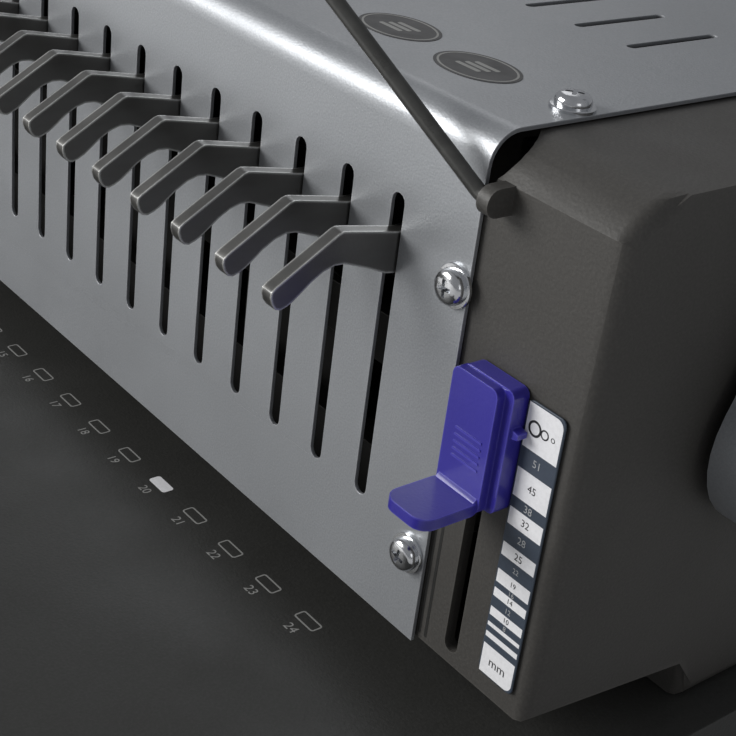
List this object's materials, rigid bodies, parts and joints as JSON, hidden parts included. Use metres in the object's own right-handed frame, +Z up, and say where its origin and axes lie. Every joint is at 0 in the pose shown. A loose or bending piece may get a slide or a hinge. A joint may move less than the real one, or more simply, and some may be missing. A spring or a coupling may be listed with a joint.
{
  "type": "comb binding machine",
  "caption": "Desktop comb binding machine: slotted front plate with a row of ring-opening claws, side lever that punches and opens, sheet tray, size slider, wire sheet support and chip drawer",
  "frame": {"origin": "middle of the bounding box's bottom, on the surface that the rubber feet stand on", "axes": "+X to the right along the row of claws, +Y to the rear, +Z up"},
  "size_m": [0.465, 0.34, 0.3511],
  "materials": {
    "silver_paint": "satin silver paint on folded sheet steel",
    "dark_moulding": "matte warm dark grey moulding",
    "base_moulding": "matte near-black moulding",
    "hook_steel": "dark satin steel, brighter along the worn edges",
    "plain_steel": "plain machined steel",
    "blue_moulding": "half-gloss deep blue moulding",
    "black_rubber": "matte black rubber",
    "black_wire": "half-gloss black coated wire",
    "bronze": "sintered bronze",
    "label_white": "white printed scale plate"
  },
  "bodies": {
    "machine": {"base_tray": "base_moulding", "front_left_foot": "black_rubber", "front_right_foot": "black_rubber", "rear_left_foot": "black_rubber", "rear_right_foot": "black_rubber", "left_casing": "dark_moulding", "right_casing": "dark_moulding", "front_cover": "silver_paint", "rear_cover": "dark_moulding", "left_frame": "plain_steel", "right_frame": "plain_steel", "left_bush": "bronze", "right_bush": "bronze", "size_scale": "label_white", "die_block": "plain_steel", "pin_guide": "plain_steel", "left_guide_post": "plain_steel", "right_guide_post": "plain_steel"},
    "lever": {"drive_shaft": "plain_steel", "left_sector_gear": "plain_steel", "right_sector_gear": "plain_steel", "left_punch_cam": "plain_steel", "right_punch_cam": "plain_steel", "lever_arm": "silver_paint", "lever_grip": "black_rubber", "hub_cap": "dark_moulding"},
    "hook_row": {"hook_carriage": "plain_steel", "left_rack": "plain_steel", "right_rack": "plain_steel", "comb_hook_01": "hook_steel", "comb_hook_02": "hook_steel", "comb_hook_03": "hook_steel", "comb_hook_04": "hook_steel", "comb_hook_05": "hook_steel", "comb_hook_06": "hook_steel", "comb_hook_07": "hook_steel", "comb_hook_08": "hook_steel", "comb_hook_09": "hook_steel", "comb_hook_10": "hook_steel", "comb_hook_11": "hook_steel", "comb_hook_12": "hook_steel", "comb_hook_13": "hook_steel", "comb_hook_14": "hook_steel", "comb_hook_15": "hook_steel", "comb_hook_16": "hook_steel", "comb_hook_17": "hook_steel", "comb_hook_18": "hook_steel", "comb_hook_19": "hook_steel", "comb_hook_20": "hook_steel", "comb_hook_21": "hook_steel", "comb_hook_22": "hook_steel", "comb_hook_23": "hook_steel", "comb_hook_24": "hook_steel"},
    "punch": {"punch_head": "plain_steel"},
    "size_stop": {"comb_size_slider": "blue_moulding", "slider_clip": "plain_steel"},
    "sheet_support": {"wire_support": "black_wire"},
    "side_guide": {"edge_guide": "base_moulding"},
    "knob": {"margin_knob": "dark_moulding"},
    "drawer": {"chip_drawer": "base_moulding"}
  },
  "joints": [
    {"name": "lever_turn", "type": "hinge", "parent": "machine", "child": "lever", "pos_m": [0.2, 0.02868, 0.1002], "axis": [1, 0, 0], "range_deg": [0, 80]},
    {"name": "hook_slide", "type": "slide", "parent": "machine", "child": "hook_row", "axis": [0, 0, -1], "range_m": [0, 0.042]},
    {"name": "punch_slide", "type": "slide", "parent": "machine", "child": "punch", "axis": [0, 0, -1], "range_m": [0, 0.0075]},
    {"name": "size_slide", "type": "slide", "parent": "machine", "child": "size_stop", "axis": [0, 0, -1], "range_m": [0, 0.044]},
    {"name": "support_swing", "type": "hinge", "parent": "machine", "child": "sheet_support", "pos_m": [-0.00115, -0.022, 0.1405], "axis": [1, 0, 0], "range_deg": [-26, 68]},
    {"name": "guide_slide", "type": "slide", "parent": "machine", "child": "side_guide", "axis": [1, 0, 0], "range_m": [-0.012, 0.02]},
    {"name": "knob_turn", "type": "hinge", "parent": "machine", "child": "knob", "pos_m": [-0.222, 0.085, 0.1], "axis": [1, 0, 0], "range_deg": [-135, 135]},
    {"name": "drawer_slide", "type": "slide", "parent": "machine", "child": "drawer", "axis": [-1, 0, 0], "range_m": [0, 0.26]}
  ],
  "couplings": [
    {"joint": "hook_slide", "follows": "lever_turn", "m_per_rad": 0.03008},
    {"joint": "punch_slide", "follows": "lever_turn", "m_per_rad": 0.0053714}
  ]
}
